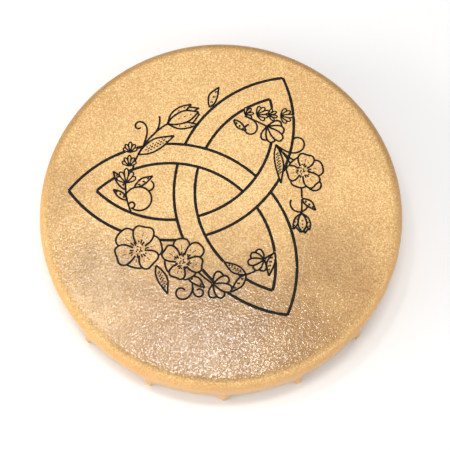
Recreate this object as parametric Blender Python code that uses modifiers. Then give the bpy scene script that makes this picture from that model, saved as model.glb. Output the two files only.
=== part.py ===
"""Laced rawhide frame drum, lying on its back with the playing face up.

Origin: the middle of the plane that the drum rests on, +Z up to the playing face.
"""
import math

import bmesh
import bpy
from mathutils import Matrix, Vector

COLLECTION = "bodhran"

# Driving dimensions, in metres.
DRUM_RADIUS = 0.203        # a 16 inch drum, over the hide
HOOP_DEPTH = 0.0635        # 2.5 inches of wood, front to back
HOOP_WALL = 0.011
HIDE = 0.0014              # thickness of the rawhide head
LACE_WIDTH = 0.005
LACE = 0.0016              # thickness of the rawhide lace
GAP = 0.0003               # clearance between pieces that touch
FACET_ROOM = 0.00005       # added where a turned piece's facets face another's
LACING_POINTS = 15
FIRST_LACING = math.radians(9)

# The hoop and the hide over it.
SHOULDER = 0.0119          # outer radius of the hide where it turns down over the hoop
HIDE_GAP = GAP + FACET_ROOM                     # hide to wood
STRAND_GAP = 0.0004        # between the two strands of a lace under the hoop
LACE_RISE = 2 * LACE + STRAND_GAP
HOOP_BACK = LACE_RISE + GAP                     # two laces run under the hoop
HOOP_FRONT = HOOP_BACK + HOOP_DEPTH
HOOP_OUTER = DRUM_RADIUS - HIDE - HIDE_GAP
HOOP_INNER = HOOP_OUTER - HOOP_WALL
HOOP_ROUND = SHOULDER - HIDE - HIDE_GAP
HOOP_EASE = 0.0009         # eased back corners
HOOP_LIP = 0.0006          # the front inner corner stands this much back from the front
FACE_Z = HOOP_FRONT + HIDE_GAP + HIDE
HEAD_STEPS = 120
HOOP_STEPS = 96
ARC_STEPS = 4
SKIRT_ROWS = 4
MERGE = 0.00005

# The hide's lower edge: scalloped between lacing points, hooded over the lace at each.
EAR_EDGE_Z = 0.0023        # the edge at a lacing point
BARE_WOOD = 0.0075         # wood left showing between lacing points, on average
BARE_SWING = 0.0035        # the cut isn't level: more wood shows on one side
BARE_MOST_AT = math.radians(-62)
EAR_SPREAD = 0.0075
HOOD = 0.0026              # how far the lace behind the hide pushes it out
HOOD_SPREAD = 0.006
HOOD_FULL_Z = 0.012
HOOD_GONE_Z = 0.026
CLUSTER = 0.6              # how strongly the head's facets gather at the lacing points

# The holes in the hide.
HOLE_Z = 0.0085
HOLE_WIDTH = LACE_WIDTH + 0.0008
HOLE_HEIGHT = LACE + 0.001
HOLE_CUT = 0.008           # depth of the cutter, right through the hide

# The lace loops, from the grip ring out to the hide.
BACK_STRAND_Z = LACE / 2
FRONT_STRAND_Z = LACE_RISE - LACE / 2
BEHIND_HIDE_R = HOOP_OUTER + GAP + LACE / 2
OVER_HIDE_R = DRUM_RADIUS + HOOD + GAP + LACE / 2
INSIDE_HOOP = 0.0023       # a lace is level from this far inside the hoop
LEVEL_FROM_R = HOOP_INNER - INSIDE_HOOP
LACE_BEND = 0.0012
LACE_BEND_BELOW = 0.0015
LANE = LACE_WIDTH + GAP    # spacing of the laces side by side in an arm
OUTER_LANE_END = 0.076     # where an arm's outer laces fan out
INNER_LANE_END = 0.080

# The grip: a ring with four arms of gathered laces.
ARM_GROUPS = (4, 4, 4, 3)
RING_RADIUS = 0.027
RING_WIRE = 0.0025
RING_Z = 0.0068
LOOP_BEND = 0.0038         # radius of the lace's middle round the ring
LOOP_SLACK = 0.0009
WRAP_FROM = 0.034
WRAP_TO = 0.073
WRAP_WALL = 0.0015
WRAP_CLEAR = 0.0003
WRAP_CORNER = 0.001


def clear_scene():
    for old in list(bpy.data.objects):
        bpy.data.objects.remove(old, do_unlink=True)


def make_collection(name):
    group = bpy.data.collections.new(name)
    bpy.context.scene.collection.children.link(group)
    return group


def make_material(name, colour, roughness, metallic=0.0):
    material = bpy.data.materials.new(name)
    material.use_nodes = True
    shader = material.node_tree.nodes["Principled BSDF"]
    shader.inputs["Base Color"].default_value = (*colour, 1.0)
    shader.inputs["Roughness"].default_value = roughness
    shader.inputs["Metallic"].default_value = metallic
    material.diffuse_color = (*colour, 1.0)
    return material


def add_object(name, data, group, material=None):
    piece = bpy.data.objects.new(name, data)
    group.objects.link(piece)
    if material:
        data.materials.append(material)
    return piece


def arc(centre_r, centre_z, radius, start, end, steps):
    """Points (r, z) round a centre, from one angle to another, in degrees."""
    points = []
    for i in range(steps + 1):
        angle = math.radians(start + (end - start) * i / steps)
        points.append((centre_r + radius * math.cos(angle), centre_z + radius * math.sin(angle)))
    return points


def turned(name, profile, closed, steps, group, material):
    """A profile of (r, z) points, turned about Z."""
    mesh = bpy.data.meshes.new(name)
    edges = [(i, i + 1) for i in range(len(profile) - 1)]
    if closed:
        edges.append((len(profile) - 1, 0))
    mesh.from_pydata([(r, 0.0, z) for r, z in profile], edges, [])
    piece = add_object(name, mesh, group, material)
    screw = piece.modifiers.new("turn", "SCREW")
    screw.steps = steps
    screw.render_steps = steps
    screw.use_merge_vertices = True
    screw.merge_threshold = MERGE
    screw.use_smooth_shade = True
    return piece


def evaluated_mesh(piece):
    return bpy.data.meshes.new_from_object(piece.evaluated_get(bpy.context.evaluated_depsgraph_get()))


def lacing_angle(number):
    return FIRST_LACING + math.tau * number / LACING_POINTS


def off_nearest_lacing(angle):
    """Distance round the drum from the nearest lacing point."""
    pitch = math.tau / LACING_POINTS
    return DRUM_RADIUS * ((angle - FIRST_LACING + pitch / 2) % pitch - pitch / 2)


def smooth(t):
    t = min(max(t, 0.0), 1.0)
    return t * t * (3 - 2 * t)


def hide_edge_z(angle):
    """Height of the hide's cut edge."""
    between = HOOP_BACK + BARE_WOOD + BARE_SWING * math.cos(angle - BARE_MOST_AT)
    lifted = 1 - math.exp(-((off_nearest_lacing(angle) / EAR_SPREAD) ** 4))
    return EAR_EDGE_Z + (between - EAR_EDGE_Z) * lifted


def hood(angle, z):
    """How far the hide stands out over the lace that passes behind it."""
    across = math.exp(-((off_nearest_lacing(angle) / HOOD_SPREAD) ** 2))
    return HOOD * across * smooth((HOOD_GONE_Z - z) / (HOOD_GONE_Z - HOOD_FULL_Z))


def hide_point(co):
    """Moves a point of the plain turned hide to its place on the laced one."""
    radius = math.hypot(co.x, co.y)
    if radius < 1e-6:
        return co
    angle = math.atan2(co.y, co.x)
    angle -= CLUSTER * math.sin(LACING_POINTS * (angle - FIRST_LACING)) / LACING_POINTS
    z = co.z
    if z < HOOD_GONE_Z:
        down = (HOOD_GONE_Z - z) / (HOOD_GONE_Z - EAR_EDGE_Z)
        z = HOOD_GONE_Z - down * (HOOD_GONE_Z - hide_edge_z(angle))
        radius += hood(angle, z)
    return Vector((radius * math.cos(angle), radius * math.sin(angle), z))


def make_hoop(group, material):
    """The bent wooden hoop, turned from its section."""
    front_inner = HOOP_OUTER - HOOP_ROUND
    section = [(HOOP_INNER, HOOP_FRONT - HOOP_LIP)]
    section += arc(front_inner, HOOP_FRONT - HOOP_ROUND, HOOP_ROUND, 90, 0, ARC_STEPS)
    section += [
        (HOOP_OUTER, HOOP_BACK + HOOP_EASE),
        (HOOP_OUTER - HOOP_EASE, HOOP_BACK),
        (HOOP_INNER + HOOP_EASE, HOOP_BACK),
        (HOOP_INNER, HOOP_BACK + HOOP_EASE),
    ]
    return turned("frame_hoop", section, True, HOOP_STEPS, group, material)


def make_hole_cutter(group):
    """One box for each lacing hole in the hide."""
    mesh = bpy.data.meshes.new("lacing_holes")
    boxes = bmesh.new()
    for number in range(LACING_POINTS):
        size = Matrix.Diagonal((HOLE_CUT, HOLE_WIDTH, HOLE_HEIGHT, 1))
        place = Matrix.Translation((DRUM_RADIUS + HOOD - HIDE / 2, 0, HOLE_Z))
        turn = Matrix.Rotation(lacing_angle(number), 4, "Z")
        bmesh.ops.create_cube(boxes, size=1.0, matrix=turn @ place @ size)
    boxes.to_mesh(mesh)
    boxes.free()
    cutter = add_object("lacing_holes", mesh, group)
    cutter.hide_render = True
    cutter.display_type = "WIRE"
    return cutter


def make_head(group, cutters, material):
    """The rawhide head: a turned skin, shaped at the lacing points, then thickened and holed."""
    profile = [(0.0, FACE_Z)]
    profile += arc(DRUM_RADIUS - SHOULDER, FACE_Z - SHOULDER, SHOULDER, 90, 0, ARC_STEPS)
    for row in range(SKIRT_ROWS + 1):
        z = HOOD_GONE_Z + (EAR_EDGE_Z - HOOD_GONE_Z) * row / SKIRT_ROWS
        profile.append((DRUM_RADIUS, z))
    plain = turned("plain_hide", profile, False, HEAD_STEPS, group, None)
    mesh = evaluated_mesh(plain)
    bpy.data.objects.remove(plain, do_unlink=True)
    mesh.name = "drum_head"
    for vertex in mesh.vertices:
        vertex.co = hide_point(vertex.co)
    head = add_object("drum_head", mesh, group, material)
    skin = head.modifiers.new("thickness", "SOLIDIFY")
    skin.thickness = HIDE
    skin.offset = -1
    skin.use_even_offset = True
    holes = head.modifiers.new("lacing_holes", "BOOLEAN")
    holes.operation = "DIFFERENCE"
    holes.object = make_hole_cutter(cutters)
    return head


def arms():
    """For each arm of the grip: its direction and its lacing points' numbers."""
    found, first = [], 0
    for count in ARM_GROUPS:
        numbers = list(range(first, first + count))
        middle = sum(lacing_angle(n) for n in numbers) / count
        found.append((middle, numbers))
        first += count
    return found


def plan_route(arm_angle, lane_y, lane_end, angle):
    """The lace's way out from the ring, seen from above, as points from the ring end to the hide."""
    along = Vector((math.cos(arm_angle), math.sin(arm_angle), 0))
    aside = Vector((-along.y, along.x, 0))
    outward = Vector((math.cos(angle), math.sin(angle), 0))
    ring_x = math.sqrt(RING_RADIUS ** 2 - lane_y ** 2) - LOOP_SLACK
    start = along * ring_x + aside * lane_y
    bend = along * lane_end + aside * lane_y
    return start, bend, outward, along


def lace_rows(start, bend, outward, along):
    """The loop's middle line, each row as (place, direction in plan, stretch of its width)."""
    level = outward * LEVEL_FROM_R
    fan = (level - bend).normalized()

    def mitre(a, b):
        middle = (a + b).normalized()
        return middle, 1 / middle.dot(a)

    def at(place, z, plan=(along, 1.0)):
        return Vector((place.x, place.y, z)), *plan

    rows = []
    for x, z in arc(0, RING_Z, LOOP_BEND, 90, 270, 8):
        rows.append(at(start + along * x, z))
    rows.append(at(bend, RING_Z - LOOP_BEND, mitre(along, fan)))
    rows.append(at(level, BACK_STRAND_Z, mitre(fan, outward)))
    below, bend_r = LACE_BEND_BELOW, LACE_BEND
    turn = arc(OVER_HIDE_R - below, BACK_STRAND_Z + below, below, -90, 0, 3)
    turn += arc(OVER_HIDE_R - bend_r, HOLE_Z - bend_r, bend_r, 0, 90, 3)
    turn += arc(BEHIND_HIDE_R + bend_r, HOLE_Z - bend_r, bend_r, 90, 180, 3)
    turn += arc(BEHIND_HIDE_R - bend_r, FRONT_STRAND_Z + bend_r, bend_r, 0, -90, 3)
    for r, z in turn:
        rows.append(at(outward * r, z, (outward, 1.0)))
    rows.append(at(level, FRONT_STRAND_Z, mitre(fan, outward)))
    rows.append(at(bend, RING_Z + LOOP_BEND, mitre(along, fan)))
    return rows


def make_lace_loop(number, arm_angle, lane_y, lane_end, group, material):
    """One closed loop of flat lace: a strip along its middle line, thickened."""
    start, bend, outward, along = plan_route(arm_angle, lane_y, lane_end, lacing_angle(number))
    rows = lace_rows(start, bend, outward, along)
    strip = bmesh.new()
    pairs = []
    for place, direction, stretch in rows:
        across = Vector((-direction.y, direction.x, 0)) * (LACE_WIDTH / 2 * stretch)
        pairs.append((strip.verts.new(place - across), strip.verts.new(place + across)))
    for i, (left, right) in enumerate(pairs):
        next_left, next_right = pairs[(i + 1) % len(pairs)]
        strip.faces.new((left, right, next_right, next_left))
    bmesh.ops.recalc_face_normals(strip, faces=strip.faces)
    name = f"lace_loop_{number + 1:02d}"
    mesh = bpy.data.meshes.new(name)
    strip.to_mesh(mesh)
    strip.free()
    mesh.shade_smooth()
    lace = add_object(name, mesh, group, material)
    thick = lace.modifiers.new("thickness", "SOLIDIFY")
    thick.thickness = LACE
    thick.offset = 0
    thick.use_even_offset = True
    return lace


def make_lacing(group, material):
    """Every lace loop, side by side in its arm of the grip."""
    for arm_angle, numbers in arms():
        middle = (len(numbers) - 1) / 2
        for place, number in enumerate(numbers):
            lane_y = (place - middle) * LANE
            outermost = place in (0, len(numbers) - 1)
            lane_end = OUTER_LANE_END if outermost else INNER_LANE_END
            make_lace_loop(number, arm_angle, lane_y, lane_end, group, material)


def make_ring(group, material):
    """The steel ring that the laces gather on."""
    bpy.ops.mesh.primitive_torus_add(
        major_radius=RING_RADIUS, minor_radius=RING_WIRE,
        major_segments=40, minor_segments=10, location=(0, 0, RING_Z))
    ring = bpy.context.active_object
    ring.name = ring.data.name = "grip_ring"
    for other in list(ring.users_collection):
        other.objects.unlink(ring)
    group.objects.link(ring)
    ring.data.materials.append(material)
    ring.data.shade_smooth()
    return ring


def rounded_outline(width, height, radius):
    """A rectangle with round corners."""
    x, y = width / 2 - radius, height / 2 - radius
    corners = [(x, -y, -90), (x, y, 0), (-x, y, 90), (-x, -y, 180)]
    return [p for cx, cy, turn in corners for p in arc(cx, cy, radius, turn, turn + 90, 3)]


def add_outline(curve, outline):
    """A closed flat outline in a curve."""
    spline = curve.splines.new("POLY")
    spline.points.add(len(outline) - 1)
    for point, (x, y) in zip(spline.points, outline):
        point.co = (x, y, 0, 1)
    spline.use_cyclic_u = True


def make_wrap(number, arm_angle, strands, group, material):
    """A suede sleeve round one arm's laces, a rounded rectangle with a hole of the same form."""
    hole_width = strands * LANE - GAP + 4 * WRAP_CLEAR
    hole_height = 2 * LOOP_BEND + LACE + 2 * WRAP_CLEAR
    name = f"grip_wrap_{number}"
    curve = bpy.data.curves.new(name, "CURVE")
    curve.dimensions = "2D"
    curve.fill_mode = "BOTH"
    curve.extrude = (WRAP_TO - WRAP_FROM) / 2
    for wall in (0.0, WRAP_WALL):
        outline = rounded_outline(hole_width + 2 * wall, hole_height + 2 * wall, WRAP_CORNER + wall)
        add_outline(curve, outline)
    wrap = add_object(name, curve, group, material)
    middle = (WRAP_FROM + WRAP_TO) / 2
    place = Vector((math.cos(arm_angle), math.sin(arm_angle), 0)) * middle
    wrap.location = (place.x, place.y, RING_Z)
    wrap.rotation_euler = (math.pi / 2, 0, arm_angle + math.pi / 2)
    return wrap


def main():
    clear_scene()
    group = make_collection(COLLECTION)
    cutters = make_collection("cutters")
    make_hoop(group, make_material("hoop_wood", (0.78, 0.50, 0.22), 0.45))
    make_head(group, cutters, make_material("rawhide_head", (0.72, 0.52, 0.30), 0.5))
    make_lacing(group, make_material("rawhide_lace", (0.66, 0.48, 0.27), 0.6))
    make_ring(group, make_material("ring_steel", (0.62, 0.62, 0.60), 0.25, 1.0))
    suede = make_material("suede", (0.30, 0.17, 0.09), 0.85)
    for number, (arm_angle, numbers) in enumerate(arms(), start=1):
        make_wrap(number, arm_angle, len(numbers), group, suede)


main()
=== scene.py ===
"""Looks of the laced rawhide frame drum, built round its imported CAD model. Metres, +Z up."""
import math

import bmesh
import bpy
import numpy as np
from mathutils import Matrix, Vector, noise
from mathutils.bvhtree import BVHTree


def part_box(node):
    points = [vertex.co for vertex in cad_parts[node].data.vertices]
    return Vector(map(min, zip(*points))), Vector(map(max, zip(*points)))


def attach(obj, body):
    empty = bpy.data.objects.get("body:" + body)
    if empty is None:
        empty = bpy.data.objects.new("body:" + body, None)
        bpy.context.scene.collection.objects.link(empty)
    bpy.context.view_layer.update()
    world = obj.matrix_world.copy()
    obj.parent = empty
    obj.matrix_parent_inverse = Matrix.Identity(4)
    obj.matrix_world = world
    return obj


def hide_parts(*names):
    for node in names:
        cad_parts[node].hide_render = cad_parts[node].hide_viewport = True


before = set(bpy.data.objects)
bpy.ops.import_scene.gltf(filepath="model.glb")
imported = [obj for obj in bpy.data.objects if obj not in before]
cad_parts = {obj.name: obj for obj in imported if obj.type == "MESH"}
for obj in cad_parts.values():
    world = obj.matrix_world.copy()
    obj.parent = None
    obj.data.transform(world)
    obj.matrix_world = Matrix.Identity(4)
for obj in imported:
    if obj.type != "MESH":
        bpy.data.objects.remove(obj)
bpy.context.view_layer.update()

# Sizes that the frame gives.
HOOP_LOW, HOOP_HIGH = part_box("frame_hoop")
RING_LOW, RING_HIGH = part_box("grip_ring")
HOOP_OUTER = HOOP_HIGH[0]
HOOP_BACK = HOOP_LOW[2]
HOOP_FRONT = HOOP_HIGH[2]
FACE_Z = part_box("drum_head")[1][2]
RING_Z = (RING_LOW[2] + RING_HIGH[2]) / 2

# Sizes of the pieces, as the CAD has them.
HIDE_THICKNESS = 0.0014
GAP = 0.0003
HIDE_GAP = GAP + 0.00005
DRUM_RADIUS = HOOP_OUTER + HIDE_GAP + HIDE_THICKNESS
HOOP_WALL = 0.011
HOOP_INNER = HOOP_OUTER - HOOP_WALL
SHOULDER = 0.0119
LACING_POINTS = 15
FIRST_LACING = math.radians(9)
LACE_WIDTH = 0.005
LACE_THICKNESS = 0.0016
ARM_GROUPS = (4, 4, 4, 3)
RING_WIRE = 0.0025
RING_RADIUS = 0.027

# The hoop's eased corners, and the overlap where its ends are glued: the depth of wood that it moves, where
# it starts, how far round it goes, and its step.
HOOP_STEPS = 480
HOOP_EASE = 0.0012
FRONT_EASE = 0.0005
OVERLAP_DEPTH = 0.003
OVERLAP_AT = math.radians(200)
OVERLAP_RUN = math.radians(9)
OVERLAP_STEP = 0.0004

# The hide's lower edge: the height and the spreads to both sides of the ears at the lacing points, and
# between them a strip of bare wood that is widest on one side of the drum.
EAR_EDGE_Z = 0.0023
EAR_SPREADS = (0.0068, 0.0092)
BARE_WOOD = 0.0068
BARE_SWING = 0.0036
BARE_MOST_AT = math.radians(-62)
EDGE_WAVER = 0.0009
EDGE_FRAY = 0.0004

# The hood that swells over each lace, and the lacing hole in it.
HOOD = 0.0026
HOOD_SPREAD = 0.006
HOOD_FULL_Z = 0.012
HOOD_GONE_Z = 0.026
HOLE_TOP_Z = 0.0098
HOLE_Z = 0.0085
HOLE_BOTTOM_Z = 0.0072
HOLE_HALF_WIDTH = 0.0029

# The marks that the laces pull up the hide's side: a ridge above each point, a dip on each side of it, and
# crinkles all round. Each fades out at a height, over a height.
RIDGE = 0.0009
RIDGE_HALF_WIDTH = 0.0035
RIDGE_FLARE = 0.12
RIDGE_FLARE_FROM_Z = 0.008
RIDGE_FADE = (0.046, 0.030)
DIP = 0.00035
DIP_OFF = 0.009
DIP_HALF_WIDTH = 0.005
DIP_FADE = (0.022, 0.012)
CRINKLE = 0.0003
CRINKLE_FADE = (0.050, 0.035)

# The face's shallow waves, how far it sinks, and the width over which both die out at the shoulder.
SLOW_WAVE = 0.00016
QUICK_WAVE = 0.00007
FACE_SAG = 0.00012
FLAT_RIM = 0.02

# The hide's mesh: its rings and steps, the heights of its rows in the ears, and its columns' distances
# from a lacing point.
FACE_RINGS = 40
SHOULDER_STEPS = 10
SIDE_STEPS = 8
EAR_ROWS = (0.022, 0.0185, 0.0155, 0.013, 0.0112, HOLE_TOP_Z, HOLE_Z, HOLE_BOTTOM_Z, 0.0056, 0.0042, 0.0031,
            EAR_EDGE_Z)
COLUMN_OFFSETS = (0.0, 0.001, 0.002, HOLE_HALF_WIDTH, 0.0038, 0.0048, 0.006, 0.0074, 0.009, 0.011, 0.0135,
                  0.0165, 0.020, 0.024, 0.0285, 0.033, 0.0378)

# The laces: the heights of the two strands at the hoop's back, the radii behind and over the hide, the radius
# from which the strands are level, the lanes in an arm, and the bends.
BACK_STRAND_Z = LACE_THICKNESS / 2
FRONT_STRAND_Z = 3 * LACE_THICKNESS / 2 + 0.0004
BEHIND_HIDE_R = HOOP_OUTER + GAP + LACE_THICKNESS / 2
OVER_HIDE_R = DRUM_RADIUS + HOOD + GAP + LACE_THICKNESS / 2
LEVEL_FROM_R = HOOP_INNER - 0.0023
LANE = LACE_WIDTH + GAP
OUTER_LANE_END = 0.076
INNER_LANE_END = 0.080
LOOP_BEND = 0.0038
LOOP_SLACK = 0.0009
ROUTE_CORNER = 0.012
ROUTE_STEP = 0.004
EDGE_TURN = 0.0015
HOLE_TURN = 0.0012
STRIP_CORNERS = 16
STRIP_POWERS = (0.35, 0.55)

# The suede strip wound round each arm: the wrap's ends and wall, the strip's width, how far a turn laps the
# last, the nap's roughness, and the mesh.
WRAP_FROM = 0.034
WRAP_TO = 0.073
WRAP_WALL = 0.0015
SUEDE_STRIP = 0.0078
SUEDE_LAP = 0.00055
SUEDE_NAP = 0.00012
WRAP_COLUMNS = 56
WRAP_STEPS = 132
WRAP_INNER_POWER = 0.28
WRAP_OUTER_POWER = 0.42

# The ring's weld: its direction, its half width in radians, and how much it thickens the wire.
WELD_AT = 2.72
WELD_HALF_WIDTH = 0.05
WELD_SWELL = 0.05

# The drawing's lines, in metres.
KNOT_LINE = 0.0033
FLOWER_LINE = 0.0022
SPRIG_LINE = 0.0018
FINE_LINE = 0.0014
INK_LIFT = 0.00005
INK_THICKNESS = 0.00004

# The drawing's shapes, in drum radii and degrees. Each band of the knot lies between two circles about one
# centre, and the three centres stand round the knot's middle.
LINE_STEP = 0.004
KNOT_MIDDLE = (-0.05, 0.08)
KNOT_TURN = 2
KNOT_REACH = 0.475
KNOT_RADIUS = 0.69
KNOT_BAND = 0.115
KNOT_CROSSING = 0.21
VEIN_DASH = 0.012
EYE_DASH = 0.007
PETAL_BREADTH = 5.3
OPEN_FOOT = 0.26
# A petal's outline up its left side and down its right: shares of its length and of half its breadth.
PETAL_LEFT = ((0.0, 0.0), (0.22, 0.42), (0.50, 0.88), (0.76, 1.0), (0.94, 0.68))
PETAL_RIGHT = ((0.95, -0.72), (0.74, -1.04), (0.46, -0.90), (0.18, -0.38))
# Each of a bud's petals: its reach, and how far aside its tip, upper edge and lower edge are.
BUD_PETALS = ((1.0, 0.30, 0.85, 0.10), (0.95, -0.20, 0.20, -0.80), (0.85, 0.85, 1.0, 0.40),
              (0.80, -1.05, -0.45, -1.0), (0.95, 0.0, 0.55, -0.45))

# The hide's colours, among them painted light for the middle of the face and painted shade for the far rim.
TAN = (0.77, 0.455, 0.175)
PALE_TAN = (0.90, 0.575, 0.240)
PAINTED_LIGHT_HONEY = (0.95, 0.63, 0.275)
DULL_TAN = (0.69, 0.415, 0.165)
MOTTLE_DARK = (0.48, 0.265, 0.090)
MOTTLE_PALE = (1.0, 0.74, 0.36)
GRAIN_DARK = (0.50, 0.29, 0.105)
SPECK = (0.24, 0.13, 0.05)
SCRATCH = (0.95, 0.76, 0.50)
SIDE_TAN = (0.86, 0.55, 0.24)
SIDE_SHADE = (0.88, 0.78, 0.69)
RIM_SHADE = (0.66, 0.60, 0.48)
CUT_EDGE = (0.58, 0.34, 0.13)

# Stains on the face: place in drum radii, size in metres, strength, and the colour that darkens the hide.
STAINS = (((-0.02, -0.76), 0.100, 0.95, (0.54, 0.465, 0.36)),
          ((0.30, -0.84), 0.060, 0.60, (0.74, 0.67, 0.58)),
          ((-0.50, -0.66), 0.070, 0.60, (0.76, 0.69, 0.60)),
          ((-0.86, -0.30), 0.045, 0.60, (0.76, 0.70, 0.62)),
          ((-0.62, -0.38), 0.036, 0.50, (0.62, 0.66, 0.70)),
          ((0.60, -0.25), 0.040, 0.60, (0.65, 0.62, 0.62)),
          ((0.68, -0.55), 0.066, 0.80, (0.70, 0.64, 0.57)),
          ((-0.93, 0.08), 0.034, 0.60, (0.68, 0.64, 0.60)),
          ((0.06, -0.50), 0.040, 0.45, (0.62, 0.60, 0.62)))

# Scratches on the face: both ends in drum radii, and the width in metres.
SCRATCHES = (((-0.45, 0.29), (-0.22, -0.02), 0.0005),
             ((-0.40, 0.33), (-0.20, 0.06), 0.0003),
             ((-0.56, -0.72), (-0.42, -0.57), 0.0004),
             ((0.44, -0.42), (0.47, -0.02), 0.0003),
             ((0.36, -0.60), (0.34, -0.84), 0.0003),
             ((0.43, -0.62), (0.53, -0.76), 0.0003),
             ((0.50, -0.62), (0.60, -0.74), 0.0004))

# The camera. It stands in front of the drum and over it, and aims beside the middle of the drum's back by two
# slopes, to the right and upwards.
CAMERA_ELEVATION = math.radians(73.49)
CAMERA_ROLL = math.radians(2.19)
CAMERA_DISTANCE = 5.179 * DRUM_RADIUS
CAMERA_AIM = (0.0046, -0.0028)
CAMERA_LENS = 71.24
CAMERA_SENSOR = 36.0

# The sky's brightness in front of the drum, behind it, and as the camera sees it.
FRONT_SKY = 0.88
BACK_SKY = 0.40
SEEN_SKY = 0.8

FLOOR_SIZE = 12


# -------------------- helpers

def smooth(t):
    """An S-shaped step from 0 to 1."""
    t = min(max(t, 0.0), 1.0)
    return t * t * (3 - 2 * t)


def rough(x, y, z=0.0, scale=1.0, seed=0.0):
    """Smooth noise from -1 to 1 with features of about 1 / scale metres."""
    return noise.noise(Vector((x * scale + seed, y * scale - seed, z * scale + 0.5 * seed)))


def shares(total, count):
    """Even steps from 0 to a total."""
    return [total * k / count for k in range(count + 1)]


def turned_point(radius, angle, z):
    return Vector((radius * math.cos(angle), radius * math.sin(angle), z))


def arc(cx, cy, radius, start, end, steps):
    """Points of a flat arc, its start and end in degrees."""
    points = []
    for i in range(steps + 1):
        angle = math.radians(start + (end - start) * i / steps)
        points.append((cx + radius * math.cos(angle), cy + radius * math.sin(angle)))
    return points


def rounded_section(half_x, half_y, powers, count):
    """Points of a rounded rectangle: an ellipse where the powers are 1, and sharper as they near 0."""
    points = []
    for k in range(count):
        t = math.tau * k / count
        c, s = math.cos(t), math.sin(t)
        x = math.copysign(abs(c) ** powers[0], c) * half_x
        points.append((x, math.copysign(abs(s) ** powers[1], s) * half_y))
    return points


def new_piece(name, mesh, material, slot, *nodes):
    """Links a mesh as a piece on the drum's one body, standing for the CAD nodes named."""
    piece = bpy.data.objects.new(name, mesh)
    bpy.context.scene.collection.objects.link(piece)
    mesh.materials.append(material)
    mesh.shade_smooth()
    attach(piece, "root")
    if nodes:
        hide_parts(*nodes)
    return piece


def grid_mesh(name, rows, close_rows=False, u=(), v=()):
    """A mesh of quads through rows of points that each close on themselves. Its surface coordinates are u for
    each row and v for each column, with one value more where the rows or columns close."""
    count, width = len(rows), len(rows[0])
    mesh = bpy.data.meshes.new(name)
    faces, places = [], []
    for i in range(count if close_rows else count - 1):
        here, there = i * width, (i + 1) % count * width
        for j in range(width):
            ahead = (j + 1) % width
            faces.append((here + j, here + ahead, there + ahead, there + j))
            if u:
                places += [u[i], v[j], u[i], v[j + 1], u[i + 1], v[j + 1], u[i + 1], v[j]]
    mesh.from_pydata([p for row in rows for p in row], [], faces)
    if u:
        mesh.uv_layers.new(name="surface").data.foreach_set("uv", places)
    return mesh


class Look:
    """A Principled material with short calls that add its nodes."""

    def __init__(self, name, roughness=0.5, metallic=0.0, **sockets):
        self.material = bpy.data.materials.new(name)
        self.material.use_nodes = True
        self.nodes = self.material.node_tree.nodes
        self.links = self.material.node_tree.links
        self.shader = self.nodes["Principled BSDF"]
        self.shader.inputs["Roughness"].default_value = roughness
        self.shader.inputs["Metallic"].default_value = metallic
        for socket, value in sockets.items():
            self.shader.inputs[socket.replace("_", " ")].default_value = value
        coordinates = self.nodes.new("ShaderNodeTexCoord")
        self.place, self.uv = coordinates.outputs["Object"], coordinates.outputs["UV"]

    def link(self, source, target):
        """Joins a node's output, a number or a colour to an input."""
        if isinstance(source, (int, float)):
            target.default_value = source
        elif isinstance(source, tuple):
            target.default_value = (*source, 1.0)[:len(target.default_value)]
        else:
            self.links.new(source, target)

    def stretched(self, source, scale):
        node = self.nodes.new("ShaderNodeMapping")
        node.inputs["Scale"].default_value = scale
        self.link(source, node.inputs["Vector"])
        return node.outputs["Vector"]

    def noise(self, scale, detail=2.0, roughness=0.5, distortion=0.0, source=None):
        node = self.nodes.new("ShaderNodeTexNoise")
        for socket, value in (("Scale", scale), ("Detail", detail), ("Roughness", roughness),
                              ("Distortion", distortion)):
            node.inputs[socket].default_value = value
        self.link(source or self.place, node.inputs["Vector"])
        return node.outputs["Fac"]

    def cells(self, scale):
        """The distance from the nearest of many scattered points."""
        node = self.nodes.new("ShaderNodeTexVoronoi")
        node.inputs["Scale"].default_value = scale
        self.link(self.place, node.inputs["Vector"])
        return node.outputs["Distance"]

    def math(self, operation, a, b=0.0, c=0.0):
        node = self.nodes.new("ShaderNodeMath")
        node.operation = operation
        for value, socket in zip((a, b, c), node.inputs):
            self.link(value, socket)
        return node.outputs[0]

    def times(self, a, b):
        return self.math("MULTIPLY", a, b)

    def range(self, value, low, high, to_low=0.0, to_high=1.0):
        """A smooth step from to_low to to_high while the value goes from low to high."""
        node = self.nodes.new("ShaderNodeMapRange")
        node.interpolation_type = "SMOOTHSTEP"
        for socket, number in zip(("From Min", "From Max", "To Min", "To Max"), (low, high, to_low, to_high)):
            node.inputs[socket].default_value = number
        self.link(value, node.inputs["Value"])
        return node.outputs["Result"]

    def mix(self, share, a, b, blend="MIX"):
        node = self.nodes.new("ShaderNodeMix")
        node.data_type = "RGBA"
        node.blend_type = blend
        self.link(share, node.inputs["Factor"])
        first, second, result = 6, 7, 2     # the mix node's colour sockets
        self.link(a, node.inputs[first])
        self.link(b, node.inputs[second])
        return node.outputs[result]

    def axis(self, source, letter):
        node = self.nodes.new("ShaderNodeSeparateXYZ")
        self.link(source, node.inputs[0])
        return node.outputs[letter]

    def bump(self, height, distance, strength=1.0, normal=None):
        node = self.nodes.new("ShaderNodeBump")
        node.inputs["Strength"].default_value = strength
        node.inputs["Distance"].default_value = distance
        self.link(height, node.inputs["Height"])
        if normal:
            self.link(normal, node.inputs["Normal"])
        return node.outputs["Normal"]

    def finish(self, colour, roughness, normal):
        for value, socket in ((colour, "Base Color"), (roughness, "Roughness"), (normal, "Normal")):
            self.link(value, self.shader.inputs[socket])
        return self.material


# -------------------- materials

def from_point(look, x, y):
    """The distance from a place on the face."""
    dx = look.math("SUBTRACT", look.axis(look.place, "X"), x)
    dy = look.math("SUBTRACT", look.axis(look.place, "Y"), y)
    return look.math("SQRT", look.math("ADD", look.times(dx, dx), look.times(dy, dy)))


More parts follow.
